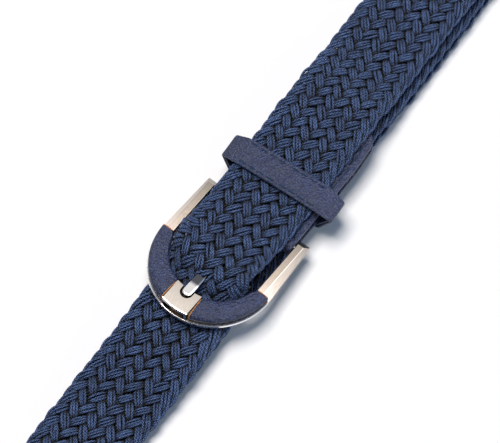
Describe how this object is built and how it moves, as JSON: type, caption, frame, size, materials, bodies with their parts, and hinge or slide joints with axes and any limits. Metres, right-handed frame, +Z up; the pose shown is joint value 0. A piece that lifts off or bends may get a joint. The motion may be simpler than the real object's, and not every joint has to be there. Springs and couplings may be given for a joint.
{
  "type": "braided elastic waist belt",
  "caption": "Braided elastic belt with a leather-covered horseshoe buckle, keeper loop and leather tip, fastened and laid flat as a closed loop.",
  "frame": {"origin": "middle of the underside of the whole belt, on the surface that it lies on", "axes": "+X along the strap from the buckle to the tip, +Y across the strap, +Z up"},
  "size_m": [0.4, 0.0462, 0.0216],
  "materials": {
    "braid": "braided navy cord, matt with a slight sheen",
    "leather": "navy grained leather, satin",
    "thread": "teal-blue sewing thread",
    "satin_metal": "satin light-gold nickel",
    "champagne_metal": "champagne satin",
    "polished_metal": "polished nickel",
    "core_board": "filler board, hidden"
  },
  "bodies": {
    "belt": {"strap_buckle_end": "braid", "strap_right_bend": "braid", "strap_floor_run": "braid", "strap_floor_stretch": "braid", "strap_front_stretch": "braid", "strap_in_buckle": "braid", "strap_front_run": "braid", "strap_tail_flex": "braid", "tab_leather": "leather", "tab_thread": "thread"},
    "left_end": {"strap_left_bend": "braid"},
    "buckle": {"buckle_frame": "satin_metal", "buckle_bar": "polished_metal", "prong_rest": "champagne_metal", "cover_leather_left": "leather", "cover_leather_right": "leather", "cover_core_left": "core_board", "cover_core_right": "core_board"},
    "prong": {"prong": "polished_metal"},
    "keeper": {"keeper_lining": "leather", "keeper_leather": "leather", "keeper_staple": "polished_metal", "keeper_thread": "thread"},
    "tail": {"strap_tail": "braid", "tip_front_leather": "leather", "tip_back_leather": "leather", "tip_thread": "thread"}
  },
  "joints": [
    {"name": "buckle_hinge", "type": "hinge", "parent": "belt", "child": "buckle", "pos_m": [0, -0.0005, 0.00885], "axis": [0.0262, 0.9997, 0], "range_deg": [0, 25], "deforming": ["strap_in_buckle"]},
    {"name": "prong_hinge", "type": "hinge", "parent": "buckle", "child": "prong", "pos_m": [0, -0.0005, 0.00885], "axis": [0.0262, 0.9997, 0], "range_deg": [0, 6], "deforming": ["strap_in_buckle"]},
    {"name": "keeper_slide", "type": "slide", "parent": "belt", "child": "keeper", "axis": [0.9997, -0.0262, 0], "range_m": [-0.004, 0.024]},
    {"name": "tail_flex", "type": "hinge", "parent": "belt", "child": "tail", "pos_m": [0.084, -0.0002, 0.0103], "axis": [0, -1, 0], "range_deg": [0, 60], "deforming": ["strap_tail_flex"]},
    {"name": "stretch", "type": "slide", "parent": "belt", "child": "left_end", "axis": [-1, 0, 0], "range_m": [0, 0.04], "stiffness_N_per_m": 200, "deforming": ["strap_front_stretch", "strap_floor_stretch"]}
  ]
}
